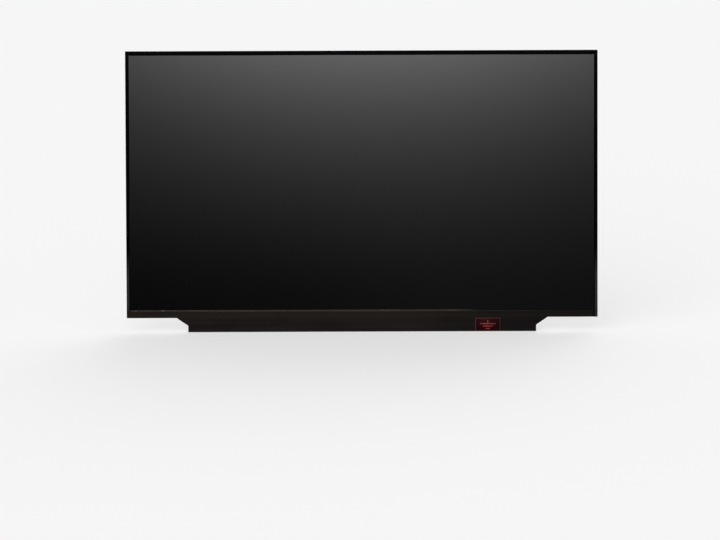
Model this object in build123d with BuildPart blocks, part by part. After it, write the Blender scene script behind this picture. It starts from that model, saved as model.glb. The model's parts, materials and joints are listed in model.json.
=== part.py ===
from build123d import *
import os

# Bare laptop screen panel: an edge-lit liquid-crystal module in a folded rear plate, with the narrow
# board that drives it hanging flat below the lower edge, between a front film and a rear film.
# Lengths are in millimetres. X runs to the viewer's right, Y out of the back and Z up the picture.
# The origin is on the rear plate's outer face, at the centre of the panel's outline.
# A depth is measured forwards from that face, and a rise is measured up from the panel's lower edge.

# Outline of the panel, and of the flap that holds the board
panel_width = 350.66
panel_height = 205.25
flap_drop = 11.0
flap_shoulder_inset = 37.3
flap_side_inset = 45.8
flap_shoulder_drop = 6.0
film_corner_radius = 0.8

# Layers, from the back to the front
plate_thickness = 0.30
reflector_thickness = 0.12
guide_thickness = 0.50
diffuser_thickness = 0.10
prism_thickness = 0.13
cover_sheet_thickness = 0.08
cell_tape_thickness = 0.06
rear_polariser_thickness = 0.12
array_glass_thickness = 0.25
filter_glass_thickness = 0.25
front_polariser_thickness = 0.13

# Rear plate
plate_bend_radius = 0.35
plate_corner_notch = 0.9
tape_recess = 0.10
tape_recess_margin = 0.5
strip_step = 0.20
strip_rise = 17.6
strip_slope = 0.6
strip_end_inset = 13.5
strip_skin_inset = 0.1
peep_hole_diameter = 5.0
peep_hole_side_inset = 53.9
peep_hole_rise = 71.2

# Edge tapes
tape_thickness = 0.08
side_tape_front = 2.7
top_tape_front = 2.9
tape_back = 3.3
tape_mitre_gap = 0.5
tape_film_gap = 0.7

# Mould frame, and the sheets that lie inside it
frame_clearance = 0.05
frame_side_bar = 1.2
frame_top_bar = 1.3
frame_corner_radius = 1.0
sheet_clearance = 0.1
sheet_rise = 4.5
sheet_ear_width = 14.0
sheet_ear_height = 0.6
sheet_ear_spacing = 180.0
guide_rise = 4.0
guide_lug_height = 8.0
guide_lug_depth = 0.6
guide_lug_spacing = 120.0
cell_tape_lap = 1.0

# Light bar
flex_thickness = 0.15
flex_end_clearance = 3.7
flex_rise = 1.0
flex_height = 7.0
led_end_margin = 3.0
led_pitch = 6.5
led_width = 3.8
led_height = 0.9
led_thickness = 0.6
led_gap = 0.1
tail_side_inset = 80.3
tail_width = 12.0
tail_slot_clearance = 0.4
tail_bend_drop = 0.4
tail_board_lap = 2.6

# Liquid-crystal cell
glass_inset = 0.43
glass_corner_cut = 0.6
array_rise = 1.2
filter_rise = 3.9
rear_polariser_inset = 0.9
rear_polariser_rise = 3.0
front_polariser_rise = 6.15
polariser_gap = 0.08

# Source films with their driver chips
source_film_count = 4
source_film_end_inset = 32.0
source_film_thickness = 0.08
source_film_glass_width = 46.0
source_film_board_width = 34.0
source_film_shoulder_rise = 0.6
source_film_bond_rise = 3.6
source_film_board_lap = 2.0
driver_length = 22.0
driver_height = 1.3
driver_thickness = 0.40
driver_drop = 0.9

# Source board
board_thickness = 0.50
board_gap = 3.2
board_edge_clearance = 0.12
board_end_clearance = 1.5
board_corner_radius = 0.6

# Receptacle for the video cable
receptacle_side_inset = 121.7
receptacle_length = 21.6
receptacle_height = 1.0
receptacle_depth = 3.0
receptacle_setback = 2.5
mouth_length = 20.4
mouth_height = 0.42
mouth_depth = 2.0
mouth_floor = 0.32
contact_count = 40
contact_pitch = 0.5
contact_width = 0.2
contact_thickness = 0.1
contact_tail = 0.6
contact_tip_inset = 0.35
window_width = 0.26
window_length = 1.3
window_inset = 0.4
clip_thickness = 0.15
clip_lap = 1.5
clip_foot = 1.0
clip_hole_diameter = 0.7
clip_length = 2.4

# Films over the board
film_thickness = 0.08
cover_film_rise = 5.1
cover_film_left_inset = 0.15
cover_film_step_run = 0.4
board_film_rise = 7.0
board_film_inset = 35.5
board_film_clearance = 0.02
board_film_slope_drop = 2.4
notch_width = 27.0
notch_drop = 4.4

# Labels on the rear plate
label_thickness = 0.08
label_corner_radius = 0.5
long_label_width = 90.5
long_label_height = 7.7
long_label_side_inset = 169.25
long_label_rise = 9.1
short_label_width = 61.8
short_label_height = 7.5
short_label_side_inset = 56.1
short_label_rise = 9.7

# Chips by the receptacle: place from its middle, length, height and thickness
timing_chip = (35.6, 6.0, 6.0, 0.85)
memory_chip = (28.1, 3.0, 2.0, 0.60)

# Chips by the light bar's tail: place from its middle, length, height and thickness
power_chip = (-54.0, 4.0, 4.0, 0.80)
backlight_chip = (-32.5, 3.0, 3.0, 0.75)

# Small parts on the board, in banks placed from the receptacle's middle or from the tail's middle
inductor_tail_places = (-49.0, -37.0, -28.0)
inductor_size = 3.2
inductor_thickness = 1.0
inductor_corner_radius = 0.4
capacitor_receptacle_banks = (-28.4,)
capacitor_tail_banks = (-60.5, -43.0, 17.0)
capacitor_columns = 3
capacitor_pitch = 2.4
capacitor_length = 1.6
capacitor_height = 0.8
capacitor_thickness = 0.8
resistor_receptacle_banks = (-56.4, -38.4, 19.1)
resistor_tail_banks = (-19.0,)
resistor_columns = 6
resistor_rows = 2
resistor_pitch = 1.9
resistor_row_pitch = 1.4
resistor_length = 1.0
resistor_height = 0.5
resistor_thickness = 0.35

# Sides and edges of the panel
side = panel_width / 2
bottom = -panel_height / 2
top = panel_height / 2

# Depth of each layer's rear face
guide_depth = plate_thickness + reflector_thickness
diffuser_depth = guide_depth + guide_thickness
lower_prism_depth = diffuser_depth + diffuser_thickness
upper_prism_depth = lower_prism_depth + prism_thickness
cover_sheet_depth = upper_prism_depth + prism_thickness
frame_front = cover_sheet_depth + cover_sheet_thickness
rear_polariser_depth = frame_front + cell_tape_thickness
array_depth = rear_polariser_depth + rear_polariser_thickness
ledge_depth = array_depth + array_glass_thickness
filter_front = ledge_depth + filter_glass_thickness
cover_film_depth = ledge_depth + source_film_thickness
board_rear = ledge_depth - board_thickness
flap_film_depth = board_rear - inductor_thickness - board_film_clearance
pocket_depth = plate_thickness - strip_step
led_depth = pocket_depth + flex_thickness

# Plate, frame, sheets and cell, each inside the one before
plate_half = side - tape_thickness
plate_low = bottom + tape_thickness
plate_high = top - tape_thickness
cavity_half = plate_half - plate_thickness
cavity_low = plate_low + plate_thickness
cavity_high = plate_high - plate_thickness
strip_half = side - strip_end_inset
strip_high = bottom + strip_rise
pocket_half = strip_half - strip_skin_inset
pocket_high = strip_high - strip_skin_inset
recess_width = tape_back + tape_recess_margin
frame_half = cavity_half - frame_clearance
frame_low = cavity_low + frame_clearance
frame_high = cavity_high - frame_clearance
sheet_half = frame_half - frame_side_bar - sheet_clearance
sheet_low = bottom + sheet_rise
sheet_high = frame_high - frame_top_bar - sheet_clearance
guide_low = bottom + guide_rise
guide_middle = (guide_low + sheet_high) / 2
flex_half = pocket_half - flex_end_clearance
led_high = guide_low - led_gap
led_low = led_high - led_height
led_count = int((2 * (flex_half - led_end_margin) - led_width) / led_pitch) + 1
glass_half = side - glass_inset
glass_high = top - glass_inset
array_low = bottom + array_rise
filter_low = bottom + filter_rise

# Board and flap
flap_low = bottom - flap_drop
flap_half = side - flap_side_inset
board_half = flap_half - board_end_clearance
board_low = flap_low + film_thickness + board_edge_clearance
board_high = bottom - board_gap
board_middle = (board_low + board_high) / 2
source_film_pitch = 2 * (board_half - source_film_end_inset) / (source_film_count - 1)
tail_x = side - tail_side_inset
receptacle_x = receptacle_side_inset - side
receptacle_low = board_low + receptacle_setback
receptacle_high = receptacle_low + receptacle_depth
receptacle_rear = board_rear - receptacle_height

# Lower outline that the two films share, from the left shoulder to the right one
flap_outline = [
    (flap_shoulder_inset - side, bottom),
    (-flap_half, bottom - flap_shoulder_drop),
    (-flap_half, flap_low),
    (flap_half, flap_low),
    (flap_half, bottom - flap_shoulder_drop),
    (side - flap_shoulder_inset, bottom),
]


def area(left, right, low, high, mode=Mode.ADD):
    """Draw a rectangle between two sides and two heights in the open sketch."""
    with Locations(((left + right) / 2, (low + high) / 2)):
        Rectangle(right - left, high - low, mode=mode)


def layer(depth, thickness, left, right, low, high, corner_cut=0.0):
    """Make one flat layer, with its corners cut off where a size is given."""
    with BuildPart() as flat:
        with BuildSketch(Plane.XZ.offset(depth)) as outline:
            area(left, right, low, high)
            if corner_cut:
                chamfer(outline.vertices(), corner_cut)
        extrude(amount=thickness)
    return flat.part


def component(x, length, height, thickness):
    """Make one flat-bodied chip, standing on the board's rear face at mid-height."""
    with BuildPart() as body:
        with BuildSketch(Plane.XZ.offset(board_rear)):
            with Locations((x, board_middle)):
                Rectangle(length, height)
        extrude(amount=-thickness)
    return body.part


def save(piece, name):
    """Label a finished piece and write it to a file of its own."""
    piece.label = name
    export_step(piece, f"parts/{name}.step")


os.makedirs("parts", exist_ok=True)

# Rear plate: a folded tray whose border is set in for the tape, with the light bar's raised strip
with BuildPart() as rear_plate:
    with BuildSketch(Plane.XZ):
        area(-plate_half, plate_half, plate_low, plate_high)
    extrude(amount=frame_front)
    fillet(rear_plate.faces().sort_by(Axis.Y)[-1].edges(), plate_bend_radius)
    with BuildSketch(Plane.XZ):
        area(-side, side, bottom, top)
        area(
            -side + recess_width,
            side - recess_width,
            bottom + recess_width,
            top - recess_width,
            Mode.SUBTRACT,
        )
    extrude(amount=tape_recess, mode=Mode.SUBTRACT)
    with BuildSketch(Plane.XZ.offset(plate_bend_radius)):
        area(-strip_half - strip_slope, strip_half + strip_slope, plate_low, strip_high + strip_slope)
    with BuildSketch(Plane.XZ.offset(-strip_step)):
        area(-strip_half, strip_half, plate_low, strip_high)
    loft(ruled=True)
    with BuildSketch(Plane.XZ.offset(plate_thickness)):
        area(-cavity_half, cavity_half, cavity_low, cavity_high)
    extrude(amount=frame_front, mode=Mode.SUBTRACT)
    with BuildSketch(Plane.XZ.offset(plate_thickness)):
        area(-pocket_half - strip_slope, pocket_half + strip_slope, cavity_low, pocket_high + strip_slope)
    with BuildSketch(Plane.XZ.offset(pocket_depth)):
        area(-pocket_half, pocket_half, cavity_low, pocket_high)
    loft(ruled=True, mode=Mode.SUBTRACT)
    with BuildSketch(Plane.XZ.offset(-strip_step)):
        with GridLocations(2 * plate_half, plate_high - plate_low, 2, 2):
            Rectangle(2 * plate_corner_notch, 2 * plate_corner_notch)
        with Locations((peep_hole_side_inset - side, bottom + peep_hole_rise)):
            Circle(peep_hole_diameter / 2)
    extrude(amount=strip_step + frame_front, mode=Mode.SUBTRACT)
    with BuildSketch(Plane.XZ.offset(pocket_depth)):
        with Locations((tail_x, plate_low)):
            Rectangle(tail_width + 2 * tail_slot_clearance, 2 * plate_thickness)
    extrude(amount=flex_thickness + tail_slot_clearance, mode=Mode.SUBTRACT)
save(rear_plate.part, "rear_plate")

# Mould frame: carries the cell on its front face and locates the guide's lugs and the sheets' ears
with BuildPart() as mould_frame:
    with BuildSketch(Plane.XZ.offset(plate_thickness)) as frame_outline:
        area(-frame_half, frame_half, frame_low, frame_high)
        fillet(frame_outline.vertices(), frame_corner_radius)
        window_half = frame_half - frame_side_bar
        window_high = frame_high - frame_top_bar
        area(-window_half, window_half, led_low - sheet_clearance, window_high, Mode.SUBTRACT)
        with Locations((0, guide_middle)):
            with GridLocations(2 * window_half, guide_lug_spacing, 2, 2):
                Rectangle(2 * guide_lug_depth, guide_lug_height + 2 * sheet_clearance, mode=Mode.SUBTRACT)
        with Locations((0, window_high)):
            with GridLocations(sheet_ear_spacing, 0, 2, 1):
                Rectangle(sheet_ear_width + 2 * sheet_clearance, 2 * sheet_ear_height, mode=Mode.SUBTRACT)
    extrude(amount=frame_front - plate_thickness)
save(mould_frame.part, "mould_frame")

# Reflector, under the guide and as large as its body
save(
    layer(plate_thickness, reflector_thickness, -sheet_half, sheet_half, guide_low, sheet_high),
    "reflector_sheet",
)

# Light guide: a clear plate with lugs at its sides that seat in the mould frame
with BuildPart() as light_guide_plate:
    with BuildSketch(Plane.XZ.offset(guide_depth)):
        area(-sheet_half, sheet_half, guide_low, sheet_high)
        with Locations((0, guide_middle)):
            with GridLocations(2 * sheet_half, guide_lug_spacing, 2, 2):
                Rectangle(2 * guide_lug_depth, guide_lug_height)
    extrude(amount=guide_thickness)
save(light_guide_plate.part, "light_guide_plate")

# Optical sheets, each with two ears at its upper edge
optical_sheets = (
    ("diffuser_sheet", diffuser_depth, diffuser_thickness),
    ("lower_prism_sheet", lower_prism_depth, prism_thickness),
    ("upper_prism_sheet", upper_prism_depth, prism_thickness),
    ("upper_diffuser_sheet", cover_sheet_depth, cover_sheet_thickness),
)
for sheet_name, sheet_depth, sheet_thickness in optical_sheets:
    with BuildPart() as optical_sheet:
        with BuildSketch(Plane.XZ.offset(sheet_depth)):
            area(-sheet_half, sheet_half, sheet_low, sheet_high)
            with Locations((0, sheet_high)):
                with GridLocations(sheet_ear_spacing, 0, 2, 1):
                    Rectangle(sheet_ear_width, 2 * sheet_ear_height)
        extrude(amount=sheet_thickness)
    save(optical_sheet.part, sheet_name)

# Light bar: a flexible circuit in the raised strip's pocket, with its row of side-firing lamps
save(
    layer(
        pocket_depth,
        flex_thickness,
        -flex_half,
        flex_half,
        bottom + flex_rise,
        bottom + flex_rise + flex_height,
    ),
    "light_bar_flex",
)
with BuildPart() as light_bar_lamps:
    with BuildSketch(Plane.XZ.offset(led_depth)):
        with Locations((0, (led_low + led_high) / 2)):
            with GridLocations(led_pitch, 0, led_count, 1):
                Rectangle(led_width, led_height)
    extrude(amount=led_thickness)
save(light_bar_lamps.part, "light_bar_lamps")

# Tail of the light bar: out through the plate's lower wall, then forwards onto the board
tail_bend_z = plate_low - tail_bend_drop
tail_land_z = board_high - tail_bend_drop
with BuildPart() as light_bar_tail:
    with BuildSketch(Plane.YZ.offset(tail_x - tail_width / 2)):
        with BuildLine():
            Polyline(
                (-pocket_depth, bottom + flex_rise),
                (-pocket_depth, tail_bend_z),
                (flex_thickness - board_rear, tail_land_z),
                (flex_thickness - board_rear, tail_land_z - tail_board_lap),
                (-board_rear, tail_land_z - tail_board_lap),
                (-board_rear, tail_land_z),
                (-led_depth, tail_bend_z),
                (-led_depth, bottom + flex_rise),
                close=True,
            )
        make_face()
    extrude(amount=tail_width)
save(light_bar_tail.part, "light_bar_tail")

# Cell: adhesive ring, rear polariser, array glass with its lower ledge, filter glass, front polariser
with BuildPart() as cell_tape:
    with BuildSketch(Plane.XZ.offset(frame_front)):
        area(-frame_half, frame_half, frame_low, frame_high)
        ring_half = sheet_half - cell_tape_lap
        area(-ring_half, ring_half, sheet_low + cell_tape_lap, sheet_high - cell_tape_lap, Mode.SUBTRACT)
    extrude(amount=cell_tape_thickness)
save(cell_tape.part, "cell_tape")
save(
    layer(
        rear_polariser_depth,
        rear_polariser_thickness,
        rear_polariser_inset - glass_half,
        glass_half - rear_polariser_inset,
        bottom + rear_polariser_rise,
        glass_high - rear_polariser_inset,
    ),
    "rear_polariser",
)
glass_plates = (
    ("array_glass", array_depth, array_glass_thickness, array_low),
    ("filter_glass", ledge_depth, filter_glass_thickness, filter_low),
)
for glass_name, glass_depth, glass_thickness, glass_low in glass_plates:
    save(
        layer(glass_depth, glass_thickness, -glass_half, glass_half, glass_low, glass_high, glass_corner_cut),
        glass_name,
    )
polariser_half = side - side_tape_front - polariser_gap
save(
    layer(
        filter_front,
        front_polariser_thickness,
        -polariser_half,
        polariser_half,
        bottom + front_polariser_rise,
        top - top_tape_front - polariser_gap,
    ),
    "front_polariser",
)

# Source films from the glass ledge down to the board, each with a driver chip on its rear face
for number in range(source_film_count):
    film_x = (number - (source_film_count - 1) / 2) * source_film_pitch
    with BuildPart() as source_film:
        with BuildSketch(Plane.XZ.offset(ledge_depth)):
            with BuildLine():
                Polyline(
                    (film_x - source_film_glass_width / 2, bottom + source_film_bond_rise),
                    (film_x - source_film_glass_width / 2, bottom + source_film_shoulder_rise),
                    (film_x - source_film_board_width / 2, board_high),
                    (film_x - source_film_board_width / 2, board_high - source_film_board_lap),
                    (film_x + source_film_board_width / 2, board_high - source_film_board_lap),
                    (film_x + source_film_board_width / 2, board_high),
                    (film_x + source_film_glass_width / 2, bottom + source_film_shoulder_rise),
                    (film_x + source_film_glass_width / 2, bottom + source_film_bond_rise),
                    close=True,
                )
            make_face()
        extrude(amount=source_film_thickness)
    save(source_film.part, f"source_film_{number + 1}")
    driver_high = bottom - driver_drop
    save(
        layer(
            ledge_depth - driver_thickness,
            driver_thickness,
            film_x - driver_length / 2,
            film_x + driver_length / 2,
            driver_high - driver_height,
            driver_high,
        ),
        f"driver_chip_{number + 1}",
    )

# Source board
with BuildPart() as source_board:
    with BuildSketch(Plane.XZ.offset(board_rear)) as board_outline:
        area(-board_half, board_half, board_low, board_high)
        fillet(board_outline.vertices(), board_corner_radius)
    extrude(amount=board_thickness)
save(source_board.part, "source_board")

# One contact of the receptacle: a tail on the board, a riser in the back wall, a beam on the floor
mouth_back = receptacle_low + mouth_depth
floor_y = mouth_floor - board_rear
with BuildPart() as one_contact:
    with BuildSketch(Plane.YZ.offset(receptacle_x - contact_width / 2)):
        with BuildLine():
            Polyline(
                (-board_rear, receptacle_high + contact_tail),
                (-board_rear, mouth_back),
                (floor_y, mouth_back),
                (floor_y, receptacle_low + contact_tip_inset),
                (floor_y + contact_thickness, receptacle_low + contact_tip_inset),
                (floor_y + contact_thickness, mouth_back + contact_thickness),
                (contact_thickness - board_rear, mouth_back + contact_thickness),
                (contact_thickness - board_rear, receptacle_high + contact_tail),
                close=True,
            )
        make_face()
    extrude(amount=contact_width)
with BuildPart() as receptacle_contacts:
    with GridLocations(contact_pitch, 0, contact_count, 1):
        add(one_contact.part)
save(receptacle_contacts.part, "receptacle_contacts")

# Receptacle body: a low block with a mouth along its lower side and a window over each contact
with BuildPart() as receptacle_body:
    with BuildSketch(Plane.XZ.offset(receptacle_rear)):
        with Locations((receptacle_x, receptacle_low + receptacle_depth / 2)):
            Rectangle(receptacle_length, receptacle_depth)
    extrude(amount=receptacle_height)
    with BuildSketch(Plane.XZ.offset(board_rear - mouth_floor)):
        with Locations((receptacle_x, receptacle_low)):
            Rectangle(mouth_length, 2 * mouth_depth)
    extrude(amount=-mouth_height, mode=Mode.SUBTRACT)
    with BuildSketch(Plane.XZ.offset(receptacle_rear)):
        with Locations((receptacle_x, receptacle_high - window_inset - window_length / 2)):
            with GridLocations(contact_pitch, 0, contact_count, 1):
                Rectangle(window_width, window_length)
    extrude(amount=receptacle_height - mouth_floor - mouth_height, mode=Mode.SUBTRACT)
    with GridLocations(contact_pitch, 0, contact_count, 1):
        add(one_contact.part, mode=Mode.SUBTRACT)
save(receptacle_body.part, "receptacle_body")

# Sheet-metal clips that hold the receptacle's ends to the board
clip_low = receptacle_low + (receptacle_depth - clip_length) / 2
with BuildPart() as receptacle_clips:
    for hand in (-1, 1):
        end_x = receptacle_x + hand * receptacle_length / 2
        with BuildSketch(Plane.XY.offset(clip_low)):
            with BuildLine():
                Polyline(
                    (end_x - hand * clip_lap, -receptacle_rear),
                    (end_x, -receptacle_rear),
                    (end_x, -board_rear),
                    (end_x + hand * clip_foot, -board_rear),
                    (end_x + hand * clip_foot, clip_thickness - board_rear),
                    (end_x + hand * clip_thickness, clip_thickness - board_rear),
                    (end_x + hand * clip_thickness, clip_thickness - receptacle_rear),
                    (end_x - hand * clip_lap, clip_thickness - receptacle_rear),
                    close=True,
                )
            make_face()
        extrude(amount=clip_length)
        with BuildSketch(Plane.XZ.offset(receptacle_rear)):
            with Locations((end_x - hand * clip_lap / 2, clip_low + clip_length / 2)):
                Circle(clip_hole_diameter / 2)
        extrude(amount=-clip_thickness, mode=Mode.SUBTRACT)
save(receptacle_clips.part, "receptacle_clips")

# Chips on the board
board_chips = (
    ("timing_chip", receptacle_x, timing_chip),
    ("memory_chip", receptacle_x, memory_chip),
    ("power_chip", tail_x, power_chip),
    ("backlight_chip", tail_x, backlight_chip),
)
for chip_name, datum_x, (chip_place, *chip_sizes) in board_chips:
    save(component(datum_x + chip_place, *chip_sizes), chip_name)

# Small parts on the board, one node for each kind
inductor_places = [tail_x + place for place in inductor_tail_places]
capacitor_banks = [receptacle_x + place for place in capacitor_receptacle_banks]
capacitor_banks += [tail_x + place for place in capacitor_tail_banks]
resistor_banks = [receptacle_x + place for place in resistor_receptacle_banks]
resistor_banks += [tail_x + place for place in resistor_tail_banks]
with BuildPart() as inductors:
    with BuildSketch(Plane.XZ.offset(board_rear)):
        with Locations(*[(x, board_middle) for x in inductor_places]):
            RectangleRounded(inductor_size, inductor_size, inductor_corner_radius)
    extrude(amount=-inductor_thickness)
save(inductors.part, "inductors")
with BuildPart() as capacitors:
    with BuildSketch(Plane.XZ.offset(board_rear)):
        with Locations(*[(x, board_middle) for x in capacitor_banks]):
            with GridLocations(capacitor_pitch, 0, capacitor_columns, 1):
                Rectangle(capacitor_length, capacitor_height)
    extrude(amount=-capacitor_thickness)
save(capacitors.part, "capacitors")
with BuildPart() as resistors:
    with BuildSketch(Plane.XZ.offset(board_rear)):
        with Locations(*[(x, board_middle) for x in resistor_banks]):
            with GridLocations(resistor_pitch, resistor_row_pitch, resistor_columns, resistor_rows):
                Rectangle(resistor_length, resistor_height)
    extrude(amount=-resistor_thickness)
save(resistors.part, "resistors")

# Front film: covers the glass ledge and the source films, and steps back onto the flap
cover_film_left = cover_film_left_inset + tape_thickness - side
cover_film_right = polariser_half
cover_film_high = bottom + cover_film_rise
step_low = filter_low - cover_film_step_run
with BuildPart() as front_cover_film:
    with BuildSketch(Plane.YZ.offset(cover_film_left)):
        with BuildLine():
            Polyline(
                (-filter_front, cover_film_high),
                (-filter_front, filter_low),
                (-cover_film_depth, step_low),
                (-cover_film_depth, flap_low),
                (-cover_film_depth - film_thickness, flap_low),
                (-cover_film_depth - film_thickness, step_low),
                (-filter_front - film_thickness, filter_low),
                (-filter_front - film_thickness, cover_film_high),
                close=True,
            )
        make_face()
    extrude(amount=cover_film_right - cover_film_left)
    with BuildSketch(Plane.XZ) as cover_outline:
        with BuildLine():
            Polyline(
                (cover_film_left, cover_film_high),
                (cover_film_left, bottom),
                *flap_outline,
                (cover_film_right, bottom),
                (cover_film_right, cover_film_high),
                close=True,
            )
        make_face()
        fillet(cover_outline.vertices().filter_by_position(Axis.Y, flap_low, bottom), film_corner_radius)
    extrude(amount=filter_front + film_thickness, mode=Mode.INTERSECT)
save(front_cover_film.part, "front_cover_film")

# Space under the rear film: behind the front film, open at the top towards the glass ledge
with BuildPart() as flap_space:
    with BuildSketch(Plane.YZ.offset(-side)):
        with BuildLine():
            Polyline(
                (strip_step, bottom),
                (-flap_film_depth, bottom - board_film_slope_drop),
                (-flap_film_depth, flap_low + film_thickness),
                (-cover_film_depth, flap_low + film_thickness),
                (-cover_film_depth, bottom),
                close=True,
            )
        make_face()
    extrude(amount=panel_width)
    with BuildSketch(Plane.XZ.offset(-strip_step)):
        with BuildLine():
            Polyline(*flap_outline, close=True)
        make_face()
        offset(amount=-film_thickness, kind=Kind.INTERSECTION)
        area(film_thickness - flap_half, flap_half - film_thickness, flap_low, bottom)
    extrude(amount=strip_step + cover_film_depth, mode=Mode.INTERSECT)

# Rear film: stuck to the raised strip, draped over the board and folded round the flap's edges
board_film_half = side - board_film_inset
with BuildPart() as rear_board_film:
    with BuildSketch(Plane.YZ.offset(-side)):
        with BuildLine():
            Polyline(
                (strip_step, bottom + board_film_rise),
                (strip_step, bottom),
                (-cover_film_depth, bottom),
                (-cover_film_depth, flap_low),
                (film_thickness - flap_film_depth, flap_low),
                (film_thickness - flap_film_depth, bottom - board_film_slope_drop),
                (strip_step + film_thickness, bottom),
                (strip_step + film_thickness, bottom + board_film_rise),
                close=True,
            )
        make_face()
    extrude(amount=panel_width)
    with BuildSketch(Plane.XZ.offset(-strip_step - film_thickness)):
        with BuildLine():
            Polyline(
                (-board_film_half, bottom + board_film_rise),
                (-board_film_half, bottom),
                *flap_outline,
                (board_film_half, bottom),
                (board_film_half, bottom + board_film_rise),
                close=True,
            )
        make_face()
    extrude(amount=strip_step + film_thickness + cover_film_depth, mode=Mode.INTERSECT)
    add(flap_space.part, mode=Mode.SUBTRACT)
    with BuildSketch(Plane.XZ.offset(-strip_step - film_thickness)):
        area(
            receptacle_x - notch_width / 2,
            receptacle_x + notch_width / 2,
            flap_low,
            bottom - notch_drop,
        )
    extrude(amount=strip_step + film_thickness + cover_film_depth, mode=Mode.SUBTRACT)
save(rear_board_film.part, "rear_board_film")

# Edge tapes at the sides: a front leg, a leg round the edge and a mitred back leg
tape_rear = tape_recess - tape_thickness
for tape_name, hand, front_low in (("edge_tape_left", -1, cover_film_high), ("edge_tape_right", 1, bottom)):
    with BuildPart() as side_tape:
        with BuildSketch(Plane.XZ.offset(tape_rear)):
            area(min(hand * plate_half, hand * side), max(hand * plate_half, hand * side), bottom, top)
        extrude(amount=filter_front + tape_thickness - tape_rear)
        with BuildSketch(Plane.XZ.offset(filter_front)):
            with BuildLine():
                Polyline(
                    (hand * side, front_low),
                    (hand * (side - side_tape_front), front_low),
                    (hand * (side - side_tape_front), top - side_tape_front - tape_mitre_gap),
                    (hand * side, top - tape_mitre_gap),
                    close=True,
                )
            make_face()
        extrude(amount=tape_thickness)
        with BuildSketch(Plane.XZ.offset(tape_rear)):
            with BuildLine():
                Polyline(
                    (hand * side, bottom + tape_mitre_gap),
                    (hand * (side - tape_back), bottom + tape_back + tape_mitre_gap),
                    (hand * (side - tape_back), top - tape_back - tape_mitre_gap),
                    (hand * side, top - tape_mitre_gap),
                    close=True,
                )
            make_face()
        extrude(amount=tape_thickness)
    save(side_tape.part, tape_name)

# Edge tape along the top
with BuildPart() as edge_tape_top:
    with BuildSketch(Plane.XZ.offset(tape_rear)):
        area(-plate_half, plate_half, plate_high, top)
    extrude(amount=filter_front + tape_thickness - tape_rear)
    with BuildSketch(Plane.XZ.offset(filter_front)):
        with BuildLine():
            Polyline(
                (-plate_half, top),
                (top_tape_front - plate_half, top - top_tape_front),
                (plate_half - top_tape_front, top - top_tape_front),
                (plate_half, top),
                close=True,
            )
        make_face()
    extrude(amount=tape_thickness)
    with BuildSketch(Plane.XZ.offset(tape_rear)):
        with BuildLine():
            Polyline(
                (-plate_half, top),
                (tape_back - plate_half, top - tape_back),
                (plate_half - tape_back, top - tape_back),
                (plate_half, top),
                close=True,
            )
        make_face()
    extrude(amount=tape_thickness)
save(edge_tape_top.part, "edge_tape_top")

# Edge tapes along the bottom, from each corner to the rear film, stepping down the strip's end
bottom_tape_start = board_film_half + tape_film_gap
slope_end = strip_half + strip_slope * (strip_step + tape_recess) / (strip_step + plate_bend_radius)
for tape_name, hand in (("edge_tape_bottom_left", -1), ("edge_tape_bottom_right", 1)):
    with BuildPart() as bottom_tape:
        with BuildSketch(Plane.XY.offset(bottom)):
            with BuildLine():
                Polyline(
                    (hand * bottom_tape_start, -cover_film_depth),
                    (hand * plate_half, -cover_film_depth),
                    (hand * plate_half, -tape_rear),
                    (hand * slope_end, -tape_rear),
                    (hand * strip_half, strip_step + tape_thickness),
                    (hand * bottom_tape_start, strip_step + tape_thickness),
                    close=True,
                )
            make_face()
        extrude(amount=tape_thickness)
        with BuildSketch(Plane.XY.offset(bottom)):
            with BuildLine():
                Polyline(
                    (hand * bottom_tape_start, strip_step),
                    (hand * strip_half, strip_step),
                    (hand * slope_end, -tape_recess),
                    (hand * plate_half, -tape_recess),
                    (hand * plate_half, -tape_rear),
                    (hand * slope_end, -tape_rear),
                    (hand * strip_half, strip_step + tape_thickness),
                    (hand * bottom_tape_start, strip_step + tape_thickness),
                    close=True,
                )
            make_face()
        extrude(amount=tape_back)
        with BuildSketch(Plane.XZ.offset(-strip_step - tape_thickness)):
            with BuildLine():
                Polyline(
                    (hand * plate_half, bottom + tape_thickness),
                    (hand * plate_half, bottom + tape_back),
                    (hand * (plate_half - tape_back), bottom + tape_back),
                    close=True,
                )
            make_face()
        extrude(amount=strip_step + tape_thickness + tape_recess, mode=Mode.SUBTRACT)
    save(bottom_tape.part, tape_name)

# Labels on the raised strip, placed from the panel's right-hand edge
label_sizes = (
    ("long_label", long_label_width, long_label_height, long_label_side_inset, long_label_rise),
    ("short_label", short_label_width, short_label_height, short_label_side_inset, short_label_rise),
)
for label_name, label_width, label_height, label_side_inset, label_rise in label_sizes:
    with BuildPart() as label_sheet:
        with BuildSketch(Plane.XZ.offset(-strip_step)):
            with Locations((side - label_side_inset, bottom + label_rise + label_height / 2)):
                RectangleRounded(label_width, label_height, label_corner_radius)
        extrude(amount=-label_thickness)
    save(label_sheet.part, label_name)
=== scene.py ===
"""Looks of the bare screen panel: finishes, draped films, edge tapes, print, studio light and camera.

Lengths are in metres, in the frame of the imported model: X runs to the viewer's right, Y out of the
back and Z up the picture, and the screen faces -Y.
"""

import json
import logging
import math
from abc import ABC, abstractmethod
from collections.abc import Mapping, Sequence
from dataclasses import dataclass
from enum import Enum
from typing import Any

import bpy
import numpy as np
from bpy.types import Camera, Light, Material, Node, NodeSocket, Object, World
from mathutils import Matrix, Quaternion, Vector

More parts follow.
